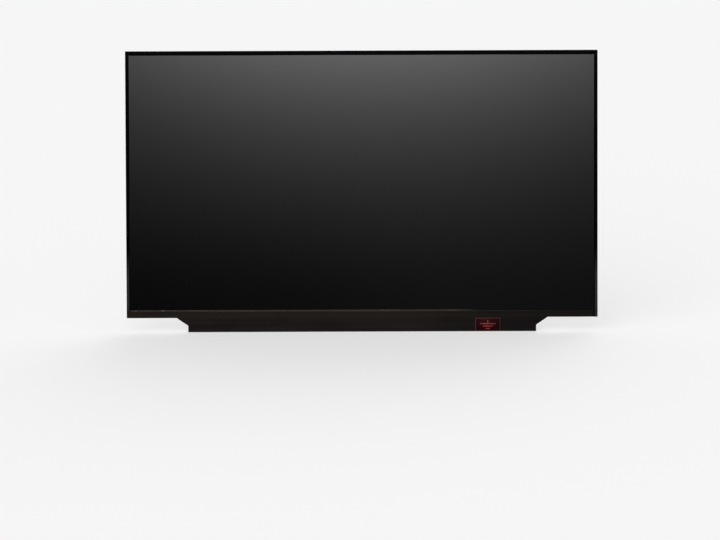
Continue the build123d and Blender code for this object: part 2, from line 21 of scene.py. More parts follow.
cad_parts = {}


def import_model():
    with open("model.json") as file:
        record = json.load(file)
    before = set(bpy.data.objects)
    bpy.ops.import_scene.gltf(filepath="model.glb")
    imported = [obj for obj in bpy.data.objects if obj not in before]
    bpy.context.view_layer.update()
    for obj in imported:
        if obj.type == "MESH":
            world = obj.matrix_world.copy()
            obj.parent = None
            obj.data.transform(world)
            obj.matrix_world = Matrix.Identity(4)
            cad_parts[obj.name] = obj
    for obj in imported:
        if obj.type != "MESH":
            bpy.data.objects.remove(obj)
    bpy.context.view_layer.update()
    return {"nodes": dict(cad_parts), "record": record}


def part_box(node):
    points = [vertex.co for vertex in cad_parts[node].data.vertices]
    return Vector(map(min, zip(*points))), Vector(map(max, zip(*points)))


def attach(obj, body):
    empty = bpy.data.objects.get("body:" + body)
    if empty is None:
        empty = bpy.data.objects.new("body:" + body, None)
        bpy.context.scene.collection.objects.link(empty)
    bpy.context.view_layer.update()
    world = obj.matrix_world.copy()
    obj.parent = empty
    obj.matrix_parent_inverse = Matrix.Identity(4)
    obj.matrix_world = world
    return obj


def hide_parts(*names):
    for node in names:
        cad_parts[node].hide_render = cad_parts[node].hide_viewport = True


Array = np.ndarray
Colour = tuple[float, float, float]
Point = tuple[float, float, float]
Span = tuple[float, float]

LOG = logging.getLogger("screen_panel")
MM = 0.001
MICRON = 0.000001
BODY = "root"
FRONT = (0.0, -1.0, 0.0)
BACK = (0.0, 1.0, 0.0)
UP = (0.0, 0.0, 1.0)
# Turns the noise lattice away from the flat faces, which would cut it in regular patterns
NOISE_TURN = (0.41, 0.73, 0.29)
# Samples to a radius while a path is rounded, and the points kept at each corner, in radii
FINE_STEPS = 12
CLOSE_STEPS = np.linspace(-1.2, 1.2, 11)


def tone(red: float, green: float, blue: float) -> Colour:
    """Turn a colour as a screen shows it into linear light.

    Args:
        red: Red, from 0 to 255.
        green: Green, from 0 to 255.
        blue: Blue, from 0 to 255.

    Returns:
        The colour's three linear parts, from 0 to 1.
    """
    shown = np.array([red, green, blue]) / 255.0
    linear = np.where(shown <= 0.04045, shown / 12.92, ((shown + 0.055) / 1.055) ** 2.4)
    return tuple(float(part) for part in linear)


# Grey of real dust specks on films, also used for painted glints on the border glass.
DUST_AND_GLINT = tone(120, 116, 110)
BLACK = (0.0, 0.0, 0.0)


def shade(colour: Colour, factor: float) -> Colour:
    """Give a colour made lighter or darker by one factor."""
    return tuple(min(1.0, part * factor) for part in colour)


class Op(Enum):
    """Operations of the Math node that the finishes use."""

    ADD = "ADD"
    SUBTRACT = "SUBTRACT"
    MULTIPLY = "MULTIPLY"
    DIVIDE = "DIVIDE"
    POWER = "POWER"
    EXPONENT = "EXPONENT"
    MAXIMUM = "MAXIMUM"
    MINIMUM = "MINIMUM"
    ABSOLUTE = "ABSOLUTE"


class Value:
    """One number over a surface: wraps a socket, and its operators add Math nodes."""

    def __init__(self, graph: "Graph", socket: NodeSocket) -> None:
        """Keep the graph that the value belongs to and the socket that gives it."""
        self.graph = graph
        self.socket = socket

    def apply(self, operation: Op, *others: "Value | float", after: bool = False) -> "Value":
        """Add one Math node.

        Args:
            operation: What the node works out.
            others: The operands apart from this value.
            after: Whether this value comes after the others.

        Returns:
            The node's result.
        """
        operands = (*others, self) if after else (self, *others)
        made = self.graph.node("ShaderNodeMath", {"operation": operation.value}, dict(enumerate(operands)))
        return Value(self.graph, made.outputs[0])

    def __add__(self, other: "Value | float") -> "Value":
        """Add."""
        return self.apply(Op.ADD, other)

    def __radd__(self, other: float) -> "Value":
        """Add to a number."""
        return self.apply(Op.ADD, other)

    def __sub__(self, other: "Value | float") -> "Value":
        """Subtract."""
        return self.apply(Op.SUBTRACT, other)

    def __rsub__(self, other: float) -> "Value":
        """Subtract from a number."""
        return self.apply(Op.SUBTRACT, other, after=True)

    def __mul__(self, other: "Value | float") -> "Value":
        """Multiply."""
        return self.apply(Op.MULTIPLY, other)

    def __rmul__(self, other: float) -> "Value":
        """Multiply a number."""
        return self.apply(Op.MULTIPLY, other)

    def __truediv__(self, other: "Value | float") -> "Value":
        """Divide."""
        return self.apply(Op.DIVIDE, other)

    def __pow__(self, other: "Value | float") -> "Value":
        """Raise to a power."""
        return self.apply(Op.POWER, other)

    def __neg__(self) -> "Value":
        """Change the sign."""
        return self.apply(Op.MULTIPLY, -1.0)

    def __abs__(self) -> "Value":
        """Drop the sign."""
        return self.apply(Op.ABSOLUTE)

    def exponent(self) -> "Value":
        """Give e to the power of this value."""
        return self.apply(Op.EXPONENT)

    def at_least(self, limit: "Value | float") -> "Value":
        """Give the larger of this value and a limit."""
        return self.apply(Op.MAXIMUM, limit)

    def at_most(self, limit: "Value | float") -> "Value":
        """Give the smaller of this value and a limit."""
        return self.apply(Op.MINIMUM, limit)

    def held(self) -> "Value":
        """Keep this value between 0 and 1."""
        return self.at_least(0.0).at_most(1.0)

    def ramp(self, low: float, high: float) -> "Value":
        """Rise smoothly from 0 at one value to 1 at another."""
        made = self.graph.node(
            "ShaderNodeMapRange",
            {"interpolation_type": "SMOOTHSTEP", "clamp": True},
            {"Value": self, "From Min": low, "From Max": high},
        )
        return Value(self.graph, made.outputs[0])

    def band(self, low: float, high: float, edge: float) -> "Value":
        """Give 1 between two values, falling to 0 over an edge on both sides."""
        return self.ramp(low - edge, low) * (1.0 - self.ramp(high, high + edge))


Feed = Value | NodeSocket | float | Sequence[float]
Sockets = dict[str, Feed]


class Graph:
    """Node tree of one material or of the world."""

    def __init__(self, owner: Material | World) -> None:
        """Start an empty tree on a material or a world.

        Args:
            owner: The material or the world.
        """
        owner.use_nodes = True
        self.owner = owner
        self.tree = owner.node_tree
        self.tree.nodes.clear()
        self._place: NodeSocket | None = None

    def node(
        self,
        kind: str,
        settings: Mapping[str, Any] | None = None,
        sockets: Mapping[str | int, Feed] | None = None,
    ) -> Node:
        """Add one node, set it, then fill its sockets.

        Args:
            kind: The node's type.
            settings: Its settings, set before anything is linked.
            sockets: A value or a link for each named or numbered input.

        Returns:
            The node.
        """
        made = self.tree.nodes.new(kind)
        for name, setting in (settings or {}).items():
            setattr(made, name, setting)
        for key, feed in (sockets or {}).items():
            source = feed.socket if isinstance(feed, Value) else feed
            if isinstance(source, NodeSocket):
                self.tree.links.new(source, made.inputs[key])
            else:
                made.inputs[key].default_value = source
        return made

    def place(self) -> NodeSocket:
        """Give the Object coordinates, which are the frame's own metres.

        Returns:
            The socket that gives them, made at the first call.
        """
        if self._place is None:
            self._place = self.node("ShaderNodeTexCoord").outputs["Object"]
        return self._place

    def axes(self) -> tuple[Value, Value, Value]:
        """Give the three Object coordinates as values."""
        parts = self.node("ShaderNodeSeparateXYZ", {}, {0: self.place()})
        return tuple(Value(self, socket) for socket in parts.outputs)

    def noise(self, size: float, detail: float = 2.0, stretch: Point = (1.0, 1.0, 1.0)) -> Value:
        """Give soft noise about 0, mostly within a quarter either way.

        Args:
            size: The size of its blotches.
            detail: How many finer layers it has.
            stretch: How much longer the blotches are along each axis.

        Returns:
            The noise.
        """
        scale = tuple(1.0 / part for part in stretch)
        mapped = self.node(
            "ShaderNodeMapping", {}, {"Vector": self.place(), "Rotation": NOISE_TURN, "Scale": scale}
        )
        made = self.node(
            "ShaderNodeTexNoise",
            {"noise_dimensions": "3D"},
            {"Vector": mapped.outputs[0], "Scale": 1.0 / size, "Detail": detail},
        )
        return Value(self, made.outputs[0]) - 0.5

    def grains(self, size: float) -> Value:
        """Give each grain of a broken surface its own level about 0.

        Args:
            size: The size of a grain.

        Returns:
            The grain's level, from half below 0 to half above.
        """
        made = self.node("ShaderNodeTexVoronoi", {}, {"Vector": self.place(), "Scale": 1.0 / size})
        parts = self.node("ShaderNodeSeparateColor", {}, {0: made.outputs["Color"]})
        return Value(self, parts.outputs[0]) - 0.5

    def mix(self, share: Value, first: Feed, second: Feed) -> NodeSocket:
        """Mix two colours.

        Args:
            share: The second colour's share.
            first: A colour, or the socket that gives it.
            second: A colour, or the socket that gives it.

        Returns:
            The socket that gives the mix.
        """
        pair = [tint if isinstance(tint, NodeSocket) else (*tint, 1.0) for tint in (first, second)]
        made = self.node("ShaderNodeMix", {"data_type": "RGBA"}, {0: share, 6: pair[0], 7: pair[1]})
        return made.outputs[2]

    def shades(self, level: Value, tint: Colour, low: float, high: float) -> NodeSocket:
        """Mix a dark and a light shade of one tint by a level about 0."""
        return self.mix((level + 0.5).held(), shade(tint, low), shade(tint, high))

    def bump(self, height: Value, depth: float) -> NodeSocket:
        """Turn a height, about a unit from low to high, into the normal of a relief of that depth."""
        made = self.node("ShaderNodeBump", {}, {"Strength": 1.0, "Distance": depth, "Height": height})
        return made.outputs[0]

    def seen_directly(self) -> Value:
        """Give 1 to camera, mirror and clear-through rays, and 0 to the rays that carry light.

        Returns:
            The value, 0 or 1.
        """
        path = self.node("ShaderNodeLightPath")
        kinds = ("Camera", "Glossy", "Transmission")
        camera, mirror, through = (Value(self, path.outputs[f"Is {kind} Ray"]) for kind in kinds)
        return camera.at_least(mirror).at_least(through)

    def show(self, shader: Node, output: str = "ShaderNodeOutputMaterial") -> Material | World:
        """Send a shader to the output, and give the material or world that the tree belongs to."""
        self.node(output, {}, {0: shader.outputs[0]})
        return self.owner


class Finish(ABC):
    """Recipe of a surface, from which a material is made."""

    @abstractmethod
    def sockets(self, graph: Graph) -> Sockets:
        """Work out the surface.

        Args:
            graph: The new material's tree.

        Returns:
            Values or links of the Principled shader's inputs.
        """

    def material(self, name: str) -> Material:
        """Make a material of this finish under a name."""
        graph = Graph(bpy.data.materials.new(name))
        return graph.show(graph.node("ShaderNodeBsdfPrincipled", {}, self.sockets(graph)))


@dataclass(frozen=True)
class Layer:
    """One noise of a surface, with its shares in the tint and the roughness."""

    size: float
    detail: float
    stretch: Point = (1.0, 1.0, 1.0)
    in_tint: float = 0.0
    in_roughness: float = 0.0


@dataclass(frozen=True)
class Moulded(Finish):
    """Moulded plastic, resin or ceramic: a fine grain, which stands in relief, over slow flow marks."""

    tint: Colour
    roughness: float = 0.5
    shades: Span = (0.88, 1.12)
    grain: Layer = Layer(0.25 * MM, 2.0, in_tint=0.6, in_roughness=0.25)
    cloud: Layer = Layer(5 * MM, 2.0, (2.0, 1.0, 1.0), in_tint=1.2)
    depth: float = 4 * MICRON
    metallic: float = 0.0

    def sockets(self, graph: Graph) -> Sockets:
        """Work out the surface: both noises, by their shares, set tint and roughness.

        Args:
            graph: The new material's tree.

        Returns:
            Values or links of the Principled shader's inputs.
        """
        layers = (self.grain, self.cloud)
        grain, cloud = (graph.noise(layer.size, layer.detail, layer.stretch) for layer in layers)
        level = cloud * self.cloud.in_tint + grain * self.grain.in_tint
        rough = grain * self.grain.in_roughness + cloud * self.cloud.in_roughness
        return {
            "Base Color": graph.shades(level, self.tint, *self.shades),
            "Metallic": self.metallic,
            "Roughness": (rough + self.roughness).held(),
            "Normal": graph.bump(grain, self.depth),
        }


@dataclass(frozen=True)
class AntiGlareFilm(Moulded):
    """Dark polariser film: faint clouds under a fine grain that spreads the light it mirrors."""

    shades: Span = (0.75, 1.25)
    grain: Layer = Layer(0.3 * MM, 1.0, in_roughness=0.05)
    cloud: Layer = Layer(110 * MM, 3.0, in_tint=1.0, in_roughness=0.05)
    depth: float = 2 * MICRON


@dataclass(frozen=True)
class CoatedPaper(Moulded):
    """Smooth white label paper: faint fibres over a slow unevenness."""

    roughness: float = 0.55
    shades: Span = (0.93, 1.04)
    grain: Layer = Layer(0.5 * MM, 3.0, (3.0, 1.0, 1.0), 0.9, 0.2)
    cloud: Layer = Layer(9 * MM, 2.0, in_tint=0.8)
    depth: float = 5 * MICRON


@dataclass(frozen=True)
class PlatedMetal(Moulded):
    """Plated or polished metal: fine drawing lines along X and a little tarnish."""

    roughness: float = 0.28
    shades: Span = (0.8, 1.08)
    grain: Layer = Layer(0.08 * MM, 2.0, (12.0, 1.0, 1.0), in_roughness=0.2)
    cloud: Layer = Layer(1.5 * MM, 3.0, in_tint=1.6, in_roughness=0.15)
    depth: float = 2 * MICRON
    metallic: float = 1.0


@dataclass(frozen=True)
class SpeckledSteel(Finish):
    """Zinc-coated sheet with a fine speckle, and a painted highlight along the crease of the raised strip,
    where its slope catches the light.
    """

    dark: Colour
    light: Colour
    crease_highlight: Colour
    crease_low: float
    crease_high: float
    crease_half: float
    crease_edge: float = 0.15 * MM
    crease_fade: float = 2 * MM
    highlight_patch_size: float = 3 * MM
    metallic: float = 0.85
    roughness: float = 0.46
    grain_size: float = 0.5 * MM
    speckle_size: float = 0.6 * MM
    cloud_size: float = 70 * MM
    relief: float = 6 * MICRON

    def sockets(self, graph: Graph) -> Sockets:
        """Work out the sheet: zinc grains, a speckle and a slow cloud set colour, roughness and bump.

        Args:
            graph: The new material's tree.

        Returns:
            Values or links of the Principled shader's inputs.
        """
        grain = graph.grains(self.grain_size)
        speckle = graph.noise(self.speckle_size, 3.0)
        cloud = graph.noise(self.cloud_size, 2.0)
        across, _, rise = graph.axes()
        # Painted highlight: a pale band, broken into patches, along the crease of the raised strip.
        highlight_patches = (graph.noise(self.highlight_patch_size, 2.0, (3.0, 1.0, 1.0)) * 2.0 + 0.6).held()
        crease = rise.band(self.crease_low, self.crease_high, self.crease_edge) * highlight_patches
        crease = crease * (1.0 - abs(across).ramp(self.crease_half - self.crease_fade, self.crease_half))
        crystal = grain.ramp(0.2, 0.45)
        level = grain * 0.5 + speckle * 1.3 + crystal * 0.3 + cloud * 0.3 - 0.1
        sheet = graph.mix((level + 0.5).held(), self.dark, self.light)
        return {
            "Base Color": graph.mix(crease * 0.8, sheet, self.crease_highlight),
            "Metallic": self.metallic,
            "Roughness": self.roughness + speckle * 0.3 + grain * 0.1 - crease * 0.12,
            "Normal": graph.bump(speckle + grain * 0.4, self.relief),
        }


@dataclass(frozen=True)
class StreakedFilm(Finish):
    """Thin polymer film or tape with faint drawn streaks along its length."""

    tint: Colour
    roughness: float
    specular: float
    contrast: float = 1.0
    streak_length: float = 90 * MM
    streak_width: float = 0.7 * MM
    streak_bump: float = 4 * MICRON
    patch_size: float = 22 * MM
    dust_size: float = 0.9 * MM

    def toned(self, graph: Graph, tint: NodeSocket) -> NodeSocket:
        """Give the tint as it is: films with a fold or a backing change it."""
        return tint

    def sockets(self, graph: Graph) -> Sockets:
        """Work out the film: long streaks, scuffed patches and a few specks of dust.

        Args:
            graph: The new material's tree.

        Returns:
            Values or links of the Principled shader's inputs.
        """
        streak = graph.noise(self.streak_width, 2.0, (self.streak_length / self.streak_width, 1.0, 1.0))
        patch = graph.noise(self.patch_size, 3.0)
        dust = graph.noise(self.dust_size, 1.0).ramp(0.24, 0.34)
        level = (streak * 1.6 + patch * 0.6) * self.contrast
        tint = self.toned(graph, graph.shades(level, self.tint, 0.6, 1.4))
        return {
            "Base Color": graph.mix(dust * 0.12, tint, DUST_AND_GLINT),
            "Roughness": (self.roughness + streak * 0.25 + patch * 0.15 + dust * 0.1).held(),
            "Specular IOR Level": self.specular,
            "Normal": graph.bump(streak + patch * 0.8, self.streak_bump),
        }


@dataclass(frozen=True, kw_only=True)
class FoldedFilm(StreakedFilm):
    """Film with a painted highlight, in patches, along the ridge of a fold."""

    painted_highlight: Colour
    fold_low: float
    fold_high: float
    fold_edge: float = 0.2 * MM
    painted_patch_size: float = 18 * MM

    def toned(self, graph: Graph, tint: NodeSocket) -> NodeSocket:
        """Give the tint, with the painted highlight in patches of the fold's band of heights.

        Args:
            graph: The new material's tree.
            tint: The film's own colour.

        Returns:
            The changed colour.
        """
        band = graph.axes()[2].band(self.fold_low, self.fold_high, self.fold_edge)
        # Painted highlight of the fold's ridge, broken into patches.
        worn = (0.5 + graph.noise(self.painted_patch_size, 4.0) * 2.0).held()
        return graph.mix(band * worn, tint, self.painted_highlight)


@dataclass(frozen=True, kw_only=True)
class BackedFilm(StreakedFilm):
    """Film that looks lighter above one height, where it is bonded to glass, and darker at its right end."""

    backed: Colour
    backed_from: float
    dark_end: Span
    bond_edge: float = 0.4 * MM

    def toned(self, graph: Graph, tint: NodeSocket) -> NodeSocket:
        """Give the tint, mixed towards the bonded colour above the height and darkened along X.

        Args:
            graph: The new material's tree.
            tint: The film's own colour.

        Returns:
            The changed colour.
        """
        across, _, rise = graph.axes()
        bonded = rise.ramp(self.backed_from - self.bond_edge, self.backed_from + self.bond_edge)
        tint = graph.mix(bonded * 0.7, tint, self.backed)
        return graph.mix(across.ramp(*self.dark_end) * 0.45, tint, BLACK)


@dataclass(frozen=True, kw_only=True)
class SheenedTape(StreakedFilm):
    """Tape with a painted sheen, standing for the pale floor's reflection, on its front fold towards the foot
    of both sides.
    """

    painted_highlight: Colour
    outer: float
    front: float
    foot: Span
    outer_edge: float = 0.4 * MM
    front_edge: float = 0.2 * MM
    painted_patch_size: float = 5 * MM

    def toned(self, graph: Graph, tint: NodeSocket) -> NodeSocket:
        """Give the tint, with the painted sheen on the outer part of the front legs, low down.

        Args:
            graph: The new material's tree.
            tint: The film's own colour.

        Returns:
            The changed colour.
        """
        across, depth, rise = graph.axes()
        fold = abs(across).ramp(self.outer - self.outer_edge, self.outer)
        fold = fold * (1.0 - depth.ramp(self.front - self.front_edge, self.front))
        # Painted reflection: the sheen fades out going up the sides.
        worn = (0.9 + graph.noise(self.painted_patch_size, 3.0)).held() * (1.0 - rise.ramp(*self.foot))
        return graph.mix(fold * worn, tint, self.painted_highlight)


@dataclass(frozen=True)
class BorderGlass(Finish):
    """Thin glass over a black border, with a painted reflection of its edge: a pale band that fades out to
    the right.
    """

    tint: Colour
    reflected_band: Colour
    reflection_end: float
    reflection_start: float
    wander_size: float = 14 * MM
    grain_size: float = 1.6 * MM

    def sockets(self, graph: Graph) -> Sockets:
        """Work out the glass: dark, polished, with the painted reflection's tone along X and a few painted
        glints.

        Args:
            graph: The new material's tree.

        Returns:
            Values or links of the Principled shader's inputs.
        """
        across = graph.axes()[0]
        # Painted reflection: a pale band along the glass, full on the left and fading out to the right.
        reflection_share = 1.0 - across.ramp(self.reflection_start, self.reflection_end)
        wander = graph.noise(self.wander_size, 3.0)
        # Painted glints: bright specks along the painted reflection.
        grain = graph.noise(self.grain_size, 1.0).ramp(0.16, 0.26)
        tint = graph.mix((reflection_share * (0.85 + wander * 1.2)).held(), self.tint, self.reflected_band)
        return {
            "Base Color": graph.mix(grain * reflection_share * 0.7, tint, DUST_AND_GLINT),
            "Roughness": (0.16 + wander * 0.2).held(),
            "Specular IOR Level": 0.4,
        }


@dataclass(frozen=True)
class PrintInk(Finish):
    """Printed ink, a little uneven where it took badly."""

    tint: Colour
    thin: Colour
    specular: float = 0.25
    blotch_size: float = 0.9 * MM
    roughness: float = 0.6

    def sockets(self, graph: Graph) -> Sockets:
        """Work out the ink: full tint with thin blotches.

        Args:
            graph: The new material's tree.

        Returns:
            Values or links of the Principled shader's inputs.
        """
        blotch = graph.noise(self.blotch_size, 2.0)
        return {
            "Base Color": graph.mix((blotch * 2.2 + 0.35).held(), self.tint, self.thin),
            "Roughness": self.roughness + blotch * 0.2,
            "Specular IOR Level": self.specular,
        }


@dataclass(frozen=True)
class ClearSheet(Finish):
    """Clear or hazy optical plate."""

    tint: Colour
    haze: float
    dot_size: float = 0.6 * MM

    def sockets(self, graph: Graph) -> Sockets:
        """Work out the sheet: clear, with a printed haze of fine dots.

        Args:
            graph: The new material's tree.

        Returns:
            Values or links of the Principled shader's inputs.
        """
        dots = graph.noise(self.dot_size, 1.0)
        return {
            "Base Color": graph.shades(dots * 2.0, self.tint, 0.94, 1.0),
            "Roughness": (self.haze + dots * 0.2).held(),
            "Transmission Weight": 0.8,
            "IOR": 1.49,
        }


@dataclass(frozen=True)
class SolderMask(Finish):
    """Green lacquered board, with tracks that show through as a darker relief."""

    tint: Colour
    track: Colour
    track_width: float = 0.5 * MM
    track_depth: float = 12 * MICRON
    cloud_size: float = 7 * MM

    def sockets(self, graph: Graph) -> Sockets:
        """Work out the board: stretched noise, cut at a level, gives runs of tracks along X.

        Args:
            graph: The new material's tree.

        Returns:
            Values or links of the Principled shader's inputs.
        """
        run = graph.noise(self.track_width, 0.0, (26.0, 1.0, 1.0)).ramp(-0.03, 0.03)
        cloud = graph.noise(self.cloud_size, 2.0)
        return {
            "Base Color": graph.mix((run * 0.7 + cloud * 0.6).held(), self.tint, self.track),
            "Roughness": 0.34 + cloud * 0.15,
            "Coat Weight": 0.3 + run * 0.2,
            "Normal": graph.bump(run, self.track_depth),
        }


@dataclass(frozen=True)
class PanelSizes:
    """Sizes that several pieces share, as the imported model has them."""

    side: float
    top: float
    bottom: float
    flap_low: float
    cover_left: float
    cover_right: float
    cover_high: float
    notch_middle: float
    glass_front: float
    strip_face: float
    side_leg: float
    top_leg: float
    film: float = 0.08 * MM
    flap_face: float = -1.95 * MM
    shoulder_inset: float = 37.3 * MM
    flap_inset: float = 45.8 * MM
    shoulder_drop: float = 6.0 * MM
    strip_rise: float = 17.6 * MM
    strip_inset: float = 13.5 * MM
    strip_slope: float = 0.6 * MM
    screen_gap: float = 0.08 * MM

    @classmethod
    def from_frame(cls) -> "PanelSizes":
        """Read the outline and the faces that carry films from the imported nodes.

        Returns:
            The sizes.
        """
        side_low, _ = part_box("edge_tape_left")
        _, top_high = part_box("edge_tape_top")
        cover_low, cover_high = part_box("front_cover_film")
        glass_low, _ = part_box("filter_glass")
        _, screen_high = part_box("front_polariser")
        _, rear_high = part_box("rear_board_film")
        body_low, body_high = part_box("receptacle_body")
        return cls(
            side=-side_low.x,
            top=top_high.z,
            bottom=side_low.z,
            flap_low=cover_low.z,
            cover_left=cover_low.x,
            cover_right=cover_high.x,
            cover_high=cover_high.z,
            notch_middle=(body_low.x + body_high.x) / 2,
            glass_front=glass_low.y,
            strip_face=rear_high.y - cls.film,
            side_leg=-side_low.x - screen_high.x - cls.screen_gap,
            top_leg=top_high.z - screen_high.z - cls.screen_gap,
        )

    @property
    def flap_half(self) -> float:
        """Half the flap's width."""
        return self.side - self.flap_inset

    @property
    def shoulder_half(self) -> float:
        """Half the width between the shoulders, at the panel's lower edge."""
        return self.side - self.shoulder_inset


def smooth(amount: Array) -> Array:
    """Give the smooth step 3t^2 - 2t^3 of t held between 0 and 1."""
    held = np.clip(amount, 0.0, 1.0)
    return held * held * (3.0 - 2.0 * held)


def quarter_round(amount: Array) -> Array:
    """Give the quarter circle sqrt(1 - (1 - t)^2) of t held between 0 and 1."""
    held = np.clip(amount, 0.0, 1.0)
    return np.sqrt(np.clip(1.0 - (1.0 - held) ** 2, 0.0, 1.0))


def path_lengths(points: Array) -> Array:
    """Give each point's distance along its path, from 0 at the first."""
    return np.concatenate(([0.0], np.cumsum(np.linalg.norm(np.diff(points, axis=0), axis=1))))


def rounded_path(corners: Array, radius: float, spacing: float) -> Array:
    """Round a path's corners, and keep more points near them.

    The path is sampled finely along its length. Each sample becomes the mean of its neighbours within
    the radius, which rounds the corners and leaves straight runs as they are. The result is read at
    even steps and at close steps around each corner.

    Args:
        corners: The path's corners, a row each.
        radius: How far the rounding reaches.
        spacing: The even step between points.

    Returns:
        The rounded path's points, a row each.
    """
    stations = path_lengths(corners)
    fine = np.linspace(0.0, stations[-1], int(stations[-1] / (radius / FINE_STEPS)) + 2)
    dense = np.stack([np.interp(fine, stations, axis) for axis in corners.T], axis=1)
    reach = max(1, int(radius / (fine[1] - fine[0])))
    padded = np.pad(dense, ((reach, reach), (0, 0)), mode="reflect", reflect_type="odd")
    window = np.ones(2 * reach + 1) / (2 * reach + 1)
    rounded = np.stack([np.convolve(axis, window, "valid") for axis in padded.T], axis=1)
    even = np.linspace(0.0, stations[-1], max(2, int(stations[-1] / spacing) + 1))
    close = stations[1:-1, None] + radius * CLOSE_STEPS
    picks = np.unique(np.clip(np.concatenate((even, close.ravel())), 0.0, stations[-1]))
    return np.stack([np.interp(picks, fine, axis) for axis in rounded.T], axis=1)


def quad_object(name: str, points: Array, quads: Array, outward: Point) -> Object:
    """Make an object from four-sided faces.

    Args:
        name: The piece's name.
        points: All points, a row each.
        quads: Four point numbers for each face.
        outward: The side that the faces show on the whole.

    Returns:
        The object, at the origin, with its place in its mesh.
    """
    across = points[quads[:, 2]] - points[quads[:, 0]]
    along = points[quads[:, 3]] - points[quads[:, 1]]
    facing = float(np.cross(across, along).sum(axis=0) @ np.array(outward))
    ordered = quads if facing > 0.0 else quads[:, ::-1]
    used, faces = np.unique(ordered, return_inverse=True)
    mesh = bpy.data.meshes.new(name)
    mesh.from_pydata(points[used].tolist(), [], faces.reshape(-1, 4).tolist())
    mesh.polygons.foreach_set("use_smooth", np.ones(len(mesh.polygons), dtype=bool))
    mesh.update()
    made = bpy.data.objects.new(name, mesh)
    bpy.context.scene.collection.objects.link(made)
    return made


def grid_object(
    name: str, grid: Array, outward: Point, keep: Array | None = None, closed: bool = False
) -> Object:
    """Make an object from a grid of points.

    Args:
        name: The piece's name.
        grid: Points in rows and columns.
        outward: The side that the faces show on the whole.
        keep: Which of the grid's faces there are, or all.
        closed: Whether the last column joins the first.

    Returns:
        The object.
    """
    rows, columns = grid.shape[:2]
    number = np.arange(rows * columns).reshape(rows, columns)
    if closed:
        number = np.concatenate((number, number[:, :1]), axis=1)
    quads = np.stack([number[:-1, :-1], number[:-1, 1:], number[1:, 1:], number[1:, :-1]], axis=-1)
    chosen = quads.reshape(-1, 4) if keep is None else quads[keep]
    return quad_object(name, grid.reshape(-1, 3), chosen, outward)


def patch_object(name: str, patches: Array, level: float, outward: Point) -> Object:
    """Make flat rectangles that face along Y.

    Args:
        name: The piece's name.
        patches: Left, right, low and high of each rectangle, a row each.
        level: The Y at which they lie.
        outward: The side that they show.

    Returns:
        The object.
    """
    x = patches[:, [0, 1, 1, 0]]
    z = patches[:, [2, 2, 3, 3]]
    points = np.stack([x, np.full_like(x, level), z], axis=-1).reshape(-1, 3)
    return quad_object(name, points, np.arange(len(points)).reshape(-1, 4), outward)


def thicken(piece: Object, thickness: float) -> None:
    """Give a sheet its thickness behind the side that it shows.

    Args:
        piece: The sheet.
        thickness: How thick it is.
    """
    wall = piece.modifiers.new("thickness", "SOLIDIFY")
    wall.thickness = thickness
    wall.offset = -1.0
    wall.use_even_offset = True


def fit(piece: Object, material: Material, slot: str, *nodes: str) -> None:
    """Dress a new piece and tie it to the frame.

    Args:
        piece: The new piece.
        material: Its material.
        slot: The record's material slot that it belongs to.
        nodes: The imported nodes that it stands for.
    """
    piece.data.materials.append(material)
    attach(piece, BODY)
    if nodes:
        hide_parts(*nodes)
    LOG.info("piece %s: %d faces, slot %s", piece.name, len(piece.data.polygons), slot)


def dress(frame: Mapping[str, Any], materials: Mapping[str, Material]) -> None:
    """Put its slot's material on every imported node.

    Args:
        frame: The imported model.
        materials: The material of each of the record's slots.
    """
    for part in frame["record"]["subparts"]:
        node, slot = part["node"], part["material_slot"]
        worn = frame["nodes"][node].data.materials
        worn.clear()
        worn.append(materials[slot])
        LOG.info("node %s: slot %s", node, slot)


@dataclass(frozen=True)
class Ripples:
    """Crossed sine waves of a slack film, between -1 and 1."""

    width: float
    bend: float
    drift: float
    height: float
    slant: float

    def over(self, x: Array, z: Array) -> Array:
        """Give sin(x / width + bend sin(x / drift)) times sin(z / height + x / slant)."""
        upright = np.sin(x / self.width + self.bend * np.sin(x / self.drift))
        return upright * np.sin(z / self.height + x / self.slant)


